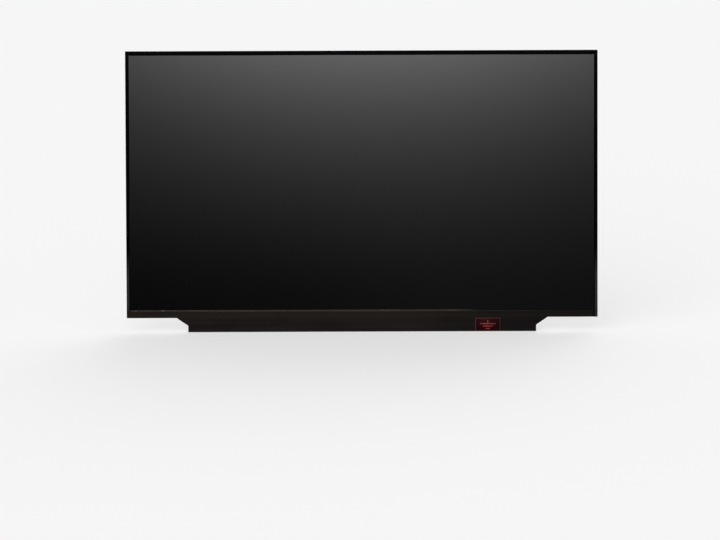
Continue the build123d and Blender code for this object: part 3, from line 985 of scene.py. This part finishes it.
@dataclass
class FrontFilm:
    """Film over the glass border and the flap's front, with a soft step and slight ripples."""

    sizes: PanelSizes
    step_rise: float = 3.9 * MM
    step_run: float = 0.6 * MM
    glass_face: float = -2.12 * MM
    corner: float = 0.8 * MM
    ripple: float = 0.025 * MM
    ripples: Ripples = Ripples(9 * MM, 3.0, 61 * MM, 3.1 * MM, 47 * MM)
    spacing: float = 1.6 * MM
    rows: int = 40

    def lower_edge(self) -> Array:
        """Give the lower outline in X and Z, from the left end to the right, corners rounded.

        Returns:
            The outline's points, a row each.
        """
        half, shoulder = self.sizes.flap_half, self.sizes.shoulder_half
        bottom, low = self.sizes.bottom, self.sizes.flap_low
        knee = bottom - self.sizes.shoulder_drop
        corners = [
            (self.sizes.cover_left, bottom),
            (-shoulder, bottom),
            (-half, knee),
            (-half, low),
            (half, low),
            (half, knee),
            (shoulder, bottom),
            (self.sizes.cover_right, bottom),
        ]
        return rounded_path(np.array(corners), self.corner, self.spacing)

    def grid(self) -> Array:
        """Rule the film from its straight upper edge down to its lower outline.

        A point is (1 - v) times the upper edge's point plus v times the outline's. Its Y steps smoothly
        from the glass to the flap as Z falls, and two crossed sine waves ripple it below the step.

        Returns:
            Points in rows and columns.
        """
        lower = self.lower_edge()
        share = path_lengths(lower)
        share = share / share[-1]
        upper_x = self.sizes.cover_left + (self.sizes.cover_right - self.sizes.cover_left) * share
        upper = np.stack([upper_x, np.full_like(upper_x, self.sizes.cover_high)], axis=1)
        down = np.linspace(0.0, 1.0, self.rows)[:, None, None]
        flat = (1.0 - down) * upper[None] + down * lower[None]
        x, z = flat[..., 0], flat[..., 1]
        fall = smooth((self.sizes.bottom + self.step_rise - z) / self.step_run)
        step = (self.sizes.flap_face - self.glass_face) * fall
        y = self.glass_face + step + self.ripple * self.ripples.over(x, z) * fall
        return np.stack([x, y, z], axis=-1)

    def build(self, material: Material) -> None:
        """Make the film in place of its flat node.

        Args:
            material: The film's material.
        """
        piece = grid_object("front_film", self.grid(), FRONT)
        thicken(piece, self.sizes.film)
        fit(piece, material, "cover_film", "front_cover_film")


@dataclass
class RearFilm:
    """Film stretched from the raised strip to the flap's lower edge, and folded round the edges."""

    sizes: PanelSizes
    notch_width: float = 26.6 * MM
    notch_drop: float = 4.4 * MM
    upper_rise: float = 7.0 * MM
    upper_inset: float = 35.5 * MM
    ridge_face: float = -0.19 * MM
    front_face: float = -1.87 * MM
    fold: float = 0.55 * MM
    lower_fold: float = 2.0 * MM
    edge_turn: float = 1.2 * MM
    corner: Span = (-0.4 * MM, 0.2 * MM)
    slack: float = 0.06 * MM
    ripples: Ripples = Ripples(11 * MM, 2.0, 53 * MM, 2.9 * MM, 37 * MM)
    rows: tuple[int, ...] = (9, 14, 16, 13)
    columns: tuple[int, ...] = (8, 46, 15, 92)

    def heights(self) -> Array:
        """Give the rows' Z: even on the strip and the flap, close at the lower fold.

        Returns:
            Heights from the strip down to the flap's lower edge.
        """
        bottom, low = self.sizes.bottom, self.sizes.flap_low
        notch, ridge = bottom - self.notch_drop, low + self.lower_fold
        strip_rows, slope_rows, flap_rows, fold_rows = self.rows
        strip = np.linspace(bottom + self.upper_rise, bottom, strip_rows)
        slope = np.linspace(bottom, notch, slope_rows)[1:]
        flap = np.linspace(notch, ridge, flap_rows)[1:]
        turn = low + self.lower_fold * (1.0 - np.sin(np.linspace(0.0, math.pi / 2, fold_rows)[1:]))
        return np.concatenate((strip, slope, flap, turn))

    def half_widths(self, z: Array) -> Array:
        """Give half the film's width at each height, with the shoulders' slant.

        Args:
            z: The heights.

        Returns:
            Half the width at each.
        """
        drop = self.sizes.bottom - z
        half, shoulder = self.sizes.flap_half, self.sizes.shoulder_half
        strip = self.sizes.side - self.upper_inset
        return np.interp(drop, [*self.corner, self.sizes.shoulder_drop], [strip, shoulder, half])

    def widths(self, z: Array) -> Array:
        """Give the columns' X for each row: close at the side folds, straight at the notch.

        Args:
            z: The rows' heights.

        Returns:
            X in rows and columns.
        """
        half = self.half_widths(z)[:, None]
        turn_columns, left_columns, notch_columns, right_columns = self.columns
        turn = self.fold * (1.0 - np.cos(np.linspace(0.0, math.pi / 2, turn_columns)))[None, :]
        start, stop = self.fold - half, half - self.fold
        notch_start = self.sizes.notch_middle - self.notch_width / 2
        notch_stop = self.sizes.notch_middle + self.notch_width / 2
        left = start + (notch_start - start) * np.linspace(0.0, 1.0, left_columns)[None, 1:]
        inside = np.linspace(notch_start, notch_stop, notch_columns)[None, 1:]
        inside = np.broadcast_to(inside, (len(z), notch_columns - 1))
        right = notch_stop + (stop - notch_stop) * np.linspace(0.0, 1.0, right_columns)[None, 1:-1]
        return np.concatenate((turn - half, left, inside, right, (half - turn)[:, ::-1]), axis=1)

    def grid(self) -> Array:
        """Stretch the film between the strip and the ridge of the lower fold.

        With t from 0 at the panel's lower edge to 1 at the ridge, Y runs from the strip's face to the
        ridge as t(2 - t). Crossed sine waves, held in by t(1 - t), lift slack folds out of it. Near the
        flap's edges Y turns forwards to the front film on a quarter round.

        Returns:
            Points in rows and columns.
        """
        heights = self.heights()
        x = self.widths(heights)
        z = np.broadcast_to(heights[:, None], x.shape)
        drop = self.sizes.bottom - z
        above_low = z - self.sizes.flap_low
        reach = self.sizes.bottom - self.sizes.flap_low - self.lower_fold
        run = np.clip(drop / reach, 0.0, 1.0)
        strip = self.sizes.strip_face + self.sizes.film
        back = strip + (self.ridge_face - strip) * run * (2.0 - run)
        back = back + self.slack * (1.0 + self.ripples.over(x, z)) * 2.0 * run * (1.0 - run)
        edge = back + (self.front_face - back) * smooth(drop / self.edge_turn)
        inward = self.half_widths(heights)[:, None] - np.abs(x)
        turned = quarter_round(inward / self.fold) * quarter_round(above_low / self.lower_fold)
        y = edge + (back - edge) * turned
        return np.stack([x, y, z], axis=-1)

    def build(self, material: Material) -> None:
        """Make the film in place of its node, open at the notch.

        Args:
            material: The film's material.
        """
        grid = self.grid()
        middle = (grid[:-1, :-1] + grid[1:, 1:]) / 2
        beside = np.abs(middle[..., 0] - self.sizes.notch_middle) > self.notch_width / 2
        above = middle[..., 2] > self.sizes.bottom - self.notch_drop
        piece = grid_object("rear_film", grid, BACK, beside | above)
        thicken(piece, self.sizes.film)
        fit(piece, material, "board_film", "rear_board_film")


class Edge(Enum):
    """Edges that a tape is folded round, each with the side that it faces."""

    LEFT = (-1.0, 0.0, 0.0)
    RIGHT = (1.0, 0.0, 0.0)
    TOP = UP


@dataclass
class EdgeTape:
    """Black tape folded round one edge, from the back to the front."""

    edge: Edge
    sizes: PanelSizes
    back_leg: float = 3.3 * MM
    back_face: float = -0.02 * MM
    mitre: float = 0.5 * MM
    front_gap: float = 0.03 * MM
    bend: float = 0.16 * MM
    wander: float = 0.05 * MM
    long_wave: float = 19 * MM
    short_wave: float = 6.3 * MM
    short_share: float = 0.6
    short_phase: float = 1.7
    spacing: float = 0.55 * MM
    stations: int = 70

    @property
    def front_leg(self) -> float:
        """How far the tape reaches over the front."""
        return self.sizes.top_leg if self.edge is Edge.TOP else self.sizes.side_leg

    @property
    def front_low(self) -> float:
        """Where a side tape's front leg starts: the left one stops at the front film."""
        return self.sizes.cover_high if self.edge is Edge.LEFT else self.sizes.bottom

    def section(self) -> Array:
        """Give the tape's section as inset from the edge and Y, from its back end to its front end.

        Returns:
            The section's points, a row each.
        """
        front = self.sizes.glass_front - self.sizes.film
        back = self.back_face
        corners = [(self.back_leg, back), (0.0, back), (0.0, front), (self.front_leg, front)]
        return rounded_path(np.array(corners), self.bend, self.spacing)

    def ends(self, inset: Array, y: Array) -> tuple[Array, Array]:
        """Give where the tape starts and stops along its edge, with its legs mitred.

        Args:
            inset: Inset of each point of the section.
            y: Y of each point of the section.

        Returns:
            The start and the stop for each point of the section.
        """
        top, bottom, film = self.sizes.top, self.sizes.bottom, self.sizes.film
        if self.edge is Edge.TOP:
            reach = self.sizes.side - film
            return inset - reach, reach - inset
        on_back = y > self.back_face - self.bend
        on_front = y < self.sizes.glass_front + self.bend
        mitred = self.mitre + inset
        start = np.where(on_front, self.front_low, bottom)
        start = np.where(on_back, bottom + mitred, start)
        stop = np.where(on_front, top - inset + film - self.front_gap, top)
        stop = np.where(on_back, top - mitred, stop)
        return start, np.minimum(stop, top)

    def grid(self) -> Array:
        """Carry the section along its edge: each point of it runs straight from its start to its stop.

        Two sine waves along the edge let the free edges of the legs wander a little.

        Returns:
            Points in rows and columns.
        """
        section = self.section()
        inset, y = section[:, :1], section[:, 1:]
        start, stop = self.ends(section[:, 0], section[:, 1])
        share = np.linspace(0.0, 1.0, self.stations)[None, :]
        along = start[:, None] + (stop - start)[:, None] * share
        free = inset / max(self.front_leg, self.back_leg)
        short = np.sin(along / self.short_wave + self.short_phase)
        wave = np.sin(along / self.long_wave) + self.short_share * short
        inset = inset + self.wander * free**2 * wave
        y = np.broadcast_to(y, along.shape)
        if self.edge is Edge.TOP:
            return np.stack([along, y, self.sizes.top - inset], axis=-1)
        return np.stack([self.edge.value[0] * (self.sizes.side - inset), y, along], axis=-1)

    def build(self, material: Material) -> None:
        """Make the tape in place of its node.

        Args:
            material: The tape's material.
        """
        name = self.edge.name.lower()
        piece = grid_object(f"{name}_tape", self.grid(), self.edge.value)
        thicken(piece, self.sizes.film)
        fit(piece, material, "edge_tape", f"edge_tape_{name}")


@dataclass
class GroundMark:
    """Red field with a thin outline and an earth symbol, printed on the flap's front film."""

    sizes: PanelSizes
    left: float = 84.3 * MM
    width: float = 18.5 * MM
    height: float = 10.3 * MM
    line: float = 0.45 * MM
    lift: float = 0.035 * MM
    layers: tuple[float, ...] = (1.2, 1.6, 2.0)
    inks: tuple[PrintInk, ...] = (
        PrintInk(tone(46, 10, 13), tone(36, 10, 12), 0.03),
        PrintInk(tone(84, 44, 46), tone(66, 34, 36)),
        PrintInk(tone(168, 50, 54), tone(140, 42, 46)),
    )
    edge_gap: float = 0.05 * MM
    symbol_rise: float = 1.0 * MM
    stem: float = 2.4 * MM
    bars: tuple[float, ...] = (11.6 * MM, 7.4 * MM, 3.2 * MM)
    bar_height: float = 0.75 * MM
    bar_pitch: float = 1.85 * MM

    def field(self) -> Array:
        """Give the field's rectangle."""
        low = self.sizes.flap_low + self.edge_gap
        return np.array([[self.left, self.left + self.width, low, low + self.height]])

    def outline(self, level: float) -> Array:
        """Give the outline's grid: the field's four corners, and four a line's width further in.

        Args:
            level: The Y at which it lies.

        Returns:
            Points in two rows of four.
        """
        left, right, low, high = self.field()[0]
        inset = np.array([[0.0], [self.line]])
        x = np.array([left, right, right, left]) + inset * np.array([1.0, -1.0, -1.0, 1.0])
        z = np.array([low, low, high, high]) + inset * np.array([1.0, 1.0, -1.0, -1.0])
        return np.stack([x, np.full_like(x, level), z], axis=-1)

    def symbol(self) -> Array:
        """Give the symbol's rectangles: a stem, and bars that shorten downwards.

        Returns:
            Left, right, low and high of each, a row each.
        """
        left, right, low, high = self.field()[0]
        centre = (left + right) / 2
        widths = np.array(self.bars)
        first = (low + high) / 2 + self.symbol_rise
        lows = first - self.bar_height - self.bar_pitch * np.arange(len(widths))
        bars = np.stack([centre - widths / 2, centre + widths / 2, lows, lows + self.bar_height], axis=1)
        half = self.bar_height / 2
        return np.concatenate((bars, [[centre - half, centre + half, first, first + self.stem]]))

    def build(self) -> None:
        """Make the field, the outline and the symbol, each a print's thickness above the last."""
        rises = [self.lift * share for share in self.layers]
        levels = [self.sizes.flap_face - rise for rise in rises]
        pieces = (
            patch_object("mark_field", self.field(), levels[0], FRONT),
            grid_object("mark_outline", self.outline(levels[1]), FRONT, closed=True),
            patch_object("mark_symbol", self.symbol(), levels[2], FRONT),
        )
        for piece, rise, ink in zip(pieces, rises, self.inks):
            thicken(piece, rise)
            fit(piece, ink.material(piece.name), "cover_film")


@dataclass
class LabelPrint:
    """Plain grey fields on a label, where such labels carry their data."""

    label: str
    fields: tuple[tuple[float, float, float, float], ...]
    ring_place: Span = (0.5, 0.5)
    ring_radii: Span = (1.75 * MM, 2.6 * MM)
    ring_sides: int = 48
    lift: float = 0.02 * MM

    def spread(self, shares: Array) -> Array:
        """Turn shares of the label, from its left and low edge seen from behind, into X and Z.

        Args:
            shares: Shares across and up, in the last axis.

        Returns:
            X and Z in metres, in the last axis.
        """
        low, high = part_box(self.label)
        x = high.x - (high.x - low.x) * shares[..., 0]
        return np.stack([x, low.z + (high.z - low.z) * shares[..., 1]], axis=-1)

    def level(self) -> float:
        """Give the Y of the print, just above the paper."""
        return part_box(self.label)[1].y + self.lift

    def build_fields(self, ink: Material) -> None:
        """Make the fields: a rectangle for each pair of shares across and up.

        Args:
            ink: Their material.
        """
        shares = np.array(self.fields)
        first = self.spread(shares[:, [1, 2]])
        second = self.spread(shares[:, [0, 3]])
        patches = np.stack([first[:, 0], second[:, 0], first[:, 1], second[:, 1]], axis=1)
        piece = patch_object(f"{self.label}_print", patches, self.level(), BACK)
        thicken(piece, self.lift)
        fit(piece, ink, "label_paper")

    def build_ring(self, ink: Material) -> None:
        """Make the ring: circles of two radii about one place, X as the cosine and Z as the sine.

        Args:
            ink: Its material.
        """
        middle = self.spread(np.array(self.ring_place))
        turn = np.linspace(0.0, 2.0 * math.pi, self.ring_sides, endpoint=False)[None, :]
        radius = np.array(self.ring_radii)[:, None]
        x = middle[0] + radius * np.cos(turn)
        z = middle[1] + radius * np.sin(turn)
        grid = np.stack([x, np.full_like(x, self.level()), z], axis=-1)
        piece = grid_object(f"{self.label}_ring", grid, BACK, closed=True)
        thicken(piece, self.lift)
        fit(piece, ink, "label_paper")


def print_labels() -> None:
    """Print both labels on the back: shares of the label from left to right and from low to high."""
    ink = PrintInk(tone(140, 142, 150), tone(186, 188, 194)).material("label_ink")
    ring_ink = PrintInk(tone(60, 62, 68), tone(92, 94, 100)).material("ring_ink")
    long_fields = (
        (0.025, 0.215, 0.36, 0.88),
        (0.235, 0.33, 0.64, 0.8),
        (0.25, 0.32, 0.4, 0.54),
        (0.45, 0.6, 0.38, 0.88),
        (0.757, 0.785, 0.46, 0.74),
        (0.778, 0.806, 0.22, 0.42),
        (0.925, 0.97, 0.22, 0.74),
    )
    long_label = LabelPrint("long_label", long_fields, ring_place=(0.87, 0.47))
    long_label.build_fields(ink)
    long_label.build_ring(ring_ink)
    LabelPrint("short_label", ((0.08, 0.93, 0.28, 0.86),)).build_fields(ink)


def hold(data: Light | Camera, turn: Quaternion) -> Object:
    """Put a lamp or the camera into the scene.

    Args:
        data: The lamp or the camera.
        turn: How it is turned.

    Returns:
        The object that holds it.
    """
    holder = bpy.data.objects.new(data.name, data)
    holder.rotation_mode = "QUATERNION"
    holder.rotation_quaternion = turn
    bpy.context.scene.collection.objects.link(holder)
    return holder


@dataclass
class GradedCard:
    """Card in front of the screen, which only mirror rays meet and which the screen shows as its gradient."""

    floor_level: float
    gap: float = 0.4 * MM
    toe: float = -3 * MM
    distance: float = 120 * MM
    height: float = 600 * MM
    half_width: float = 650 * MM
    cove: float = 20 * MM
    columns: int = 25
    climb_rate: float = 16.2
    climb_gain: float = 0.16
    climb_loss: float = 0.12
    climb_limit: float = 4.0
    middle: float = 8 * MM
    reach: float = 230 * MM
    least: float = 0.01
    side_glow: float = 0.045
    side_rise: Span = (-60 * MM, 90 * MM)

    @property
    def foot(self) -> float:
        """Height of the card's lower part, just above the floor."""
        return self.floor_level + self.gap

    def grid(self) -> Array:
        """Carry a section along X: forwards along the floor, round a cove and straight up.

        Returns:
            Points in rows and columns.
        """
        foot, front = self.foot, -self.distance
        corners = [(self.toe, foot), (front, foot), (front, foot + self.height)]
        section = rounded_path(np.array(corners), self.cove, self.cove)
        across = np.linspace(-self.half_width, self.half_width, self.columns)
        x, y = np.meshgrid(across, section[:, 0])
        return np.stack([x, y, np.broadcast_to(section[:, 1:], x.shape)], axis=-1)

    def glow(self) -> Material:
        """Make the glow: it grows as e to the power of the height, and falls off sideways as a bell.

        Returns:
            The card's material.
        """
        graph = Graph(bpy.data.materials.new("graded_glow"))
        x, _, z = graph.axes()
        climb = ((z - self.foot) * self.climb_rate).exponent() * self.climb_gain - self.climb_loss
        spread = (x - self.middle) / self.reach
        bell = (-(spread * spread)).exponent()
        level = (climb.at_most(self.climb_limit) * bell).at_least(0.0) + self.least
        level = level + x.ramp(*self.side_rise) * self.side_glow
        return graph.show(graph.node("ShaderNodeEmission", {}, {"Color": level, "Strength": 1.0}))

    def build(self) -> None:
        """Make the card, and hide it from the camera, from soft light and from shadows."""
        card = grid_object("graded_card", self.grid(), (0.0, 1.0, 1.0))
        card.data.materials.append(self.glow())
        card.visible_camera = False
        card.visible_diffuse = False
        card.visible_shadow = False


@dataclass
class Studio:
    """Pale floor, even soft light and the camera."""

    floor_level: float
    pale: Colour = tone(246, 246, 246)
    lamp_angle: float = math.radians(55.0)
    lamp_power: float = 0.8
    sky: float = 0.68
    elevation: float = math.radians(15.6)
    roll: float = math.radians(-0.2)
    lens: float = 1000.0
    sensor: float = 36.0
    picture_width: float = 535.9 * MM
    aim: Point = (-1.5 * MM, 0.0, -66.5 * MM)
    clips: Span = (1.0, 60.0)
    lamps: tuple[tuple[str, Point], ...] = (
        ("front_lamp", (-0.45, -0.75, 0.8)),
        ("rear_lamp", (0.45, 0.75, 0.8)),
    )
    floor_half: float = 7.0
    floor_lines: int = 15
    floor_fade: Span = (0.5, 1.6)
    floor_dimming: float = 0.98

    def light_sky(self) -> None:
        """Light the scene evenly, and show the pale background to the camera and to mirror rays."""
        graph = Graph(bpy.data.worlds.new("studio"))
        seen = graph.seen_directly()
        level = self.sky + seen * (self.pale[0] - self.sky)
        shader = graph.node("ShaderNodeBackground", {}, {"Color": level, "Strength": 1.0})
        bpy.context.scene.world = graph.show(shader, "ShaderNodeOutputWorld")

    def add_lamps(self) -> None:
        """Add one broad lamp in front and one behind, both from above."""
        for name, direction in self.lamps:
            lamp = bpy.data.lights.new(name, "SUN")
            lamp.energy = self.lamp_power
            lamp.angle = self.lamp_angle
            hold(lamp, Vector(direction).to_track_quat("Z", "Y"))

    def lay_floor(self) -> None:
        """Lay a flat pale floor that keeps the shadow near the panel and fades into the background."""
        ticks = np.linspace(-self.floor_half, self.floor_half, self.floor_lines)
        x, y = np.meshgrid(ticks, ticks)
        floor = grid_object("floor", np.stack([x, y, np.full_like(x, self.floor_level)], axis=-1), UP)
        graph = Graph(bpy.data.materials.new("pale_floor"))
        across, along, _ = graph.axes()
        far = ((across * across + along * along) ** 0.5).ramp(*self.floor_fade)
        lit_colour = (*shade(self.pale, self.floor_dimming), 1.0)
        lit = graph.node("ShaderNodeBsdfDiffuse", {}, {"Color": lit_colour})
        shown = graph.node("ShaderNodeEmission", {}, {"Color": (*self.pale, 1.0), "Strength": 1.0})
        share = graph.seen_directly() * (0.5 + far * 0.5)
        both = graph.node("ShaderNodeMixShader", {}, {0: share, 1: lit.outputs[0], 2: shown.outputs[0]})
        floor.data.materials.append(graph.show(both))

    def place_camera(self) -> None:
        """Look along +Y and down by the photograph's angle, from far enough to flatten perspective."""
        distance = self.picture_width * self.lens / self.sensor
        back = Vector((0.0, -math.cos(self.elevation), math.sin(self.elevation)))
        camera = bpy.data.cameras.new("camera")
        camera.lens = self.lens
        camera.sensor_width = self.sensor
        camera.clip_start, camera.clip_end = self.clips
        turn = (-back).to_track_quat("-Z", "Y") @ Quaternion(UP, self.roll)
        holder = hold(camera, turn)
        holder.location = Vector(self.aim) + back * distance
        bpy.context.scene.camera = holder

    def build(self) -> None:
        """Set up light, floor, card and camera."""
        self.light_sky()
        self.add_lamps()
        self.lay_floor()
        GradedCard(self.floor_level).build()
        self.place_camera()
        bpy.context.scene.view_settings.view_transform = "Standard"
        LOG.info("studio ready")


def finishes(sizes: PanelSizes) -> dict[str, Finish]:
    """Give the finish of each of the record's material slots.

    Args:
        sizes: The panel's sizes, which place the strip's crease.

    Returns:
        Finishes by slot.
    """
    crease = sizes.bottom + sizes.strip_rise
    return {
        "plate_steel": SpeckledSteel(
            dark=tone(72, 72, 72),
            light=tone(221, 221, 220),
            # Painted highlight along the crease of the raised strip.
            crease_highlight=tone(232, 232, 230),
            crease_low=crease,
            crease_high=crease + sizes.strip_slope,
            crease_half=sizes.side - sizes.strip_inset,
        ),
        "black_moulding": Moulded(tone(34, 34, 35), 0.45),
        "white_reflector": Moulded(tone(246, 246, 244), 0.6, shades=(0.97, 1.03)),
        "clear_acrylic": ClearSheet(tone(244, 248, 248), 0.12),
        "optical_film": ClearSheet(tone(236, 240, 242), 0.4, 0.3 * MM),
        "white_flex": Moulded(tone(228, 224, 208), 0.5, shades=(0.94, 1.06)),
        "lamp_resin": Moulded(tone(240, 210, 110), 0.25),
        "black_adhesive": Moulded(tone(24, 24, 24), 0.7),
        "polariser_film": AntiGlareFilm(tone(4, 4, 5), 0.28),
        # Dark glass with a painted reflection as a pale band that fades out between 62 and 92 mm.
        "cell_glass": BorderGlass(tone(10, 9, 9), tone(64, 59, 55), 92 * MM, 62 * MM),
        "amber_film": StreakedFilm(tone(176, 112, 40), 0.35, 0.5, 0.4),
        "chip_silicon": PlatedMetal(tone(104, 106, 112), 0.2),
        "board_green": SolderMask(tone(66, 122, 80), tone(44, 92, 58)),
        "cream_plastic": Moulded(tone(230, 228, 210), 0.5, shades=(0.95, 1.05)),
        "contact_metal": PlatedMetal(tone(222, 192, 120)),
        "clip_steel": PlatedMetal(tone(138, 131, 122)),
        "chip_black": Moulded(tone(40, 40, 42), 0.5),
        "ferrite": Moulded(tone(96, 96, 100), 0.6),
        "capacitor_ceramic": Moulded(tone(178, 148, 112), 0.4),
        "resistor_ceramic": Moulded(tone(42, 42, 44), 0.3),
        "cover_film": BackedFilm(
            tone(28, 21, 20),
            0.5,
            0.2,
            1.5,
            backed=tone(36, 29, 22),
            backed_from=sizes.bottom,
            dark_end=(20 * MM, 112 * MM),
        ),
        "board_film": FoldedFilm(
            tone(12, 12, 14),
            0.38,
            0.06,
            0.6,
            painted_highlight=tone(98, 99, 106),
            fold_low=sizes.flap_low + 1.6 * MM,
            fold_high=sizes.flap_low + 2.2 * MM,
        ),
        # Black tape with a painted sheen low on its front folds.
        "edge_tape": SheenedTape(
            tone(4, 4, 5),
            0.66,
            0.012,
            0.6,
            painted_highlight=tone(46, 47, 49),
            outer=sizes.side - 1.8 * MM,
            front=sizes.glass_front + 0.5 * MM,
            foot=(-74 * MM, -48 * MM),
        ),
        "label_paper": CoatedPaper(tone(246, 246, 245)),
    }


def main() -> None:
    """Load the frame, dress it, add the soft and printed pieces, and set up the studio."""
    logging.basicConfig(level=logging.INFO, format="%(name)s: %(message)s")
    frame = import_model()
    sizes = PanelSizes.from_frame()
    materials = {slot: finish.material(slot) for slot, finish in finishes(sizes).items()}
    dress(frame, materials)
    FrontFilm(sizes).build(materials["cover_film"])
    RearFilm(sizes).build(materials["board_film"])
    for edge in Edge:
        EdgeTape(edge, sizes).build(materials["edge_tape"])
    GroundMark(sizes).build()
    print_labels()
    Studio(sizes.flap_low).build()


if __name__ == "__main__":
    main()
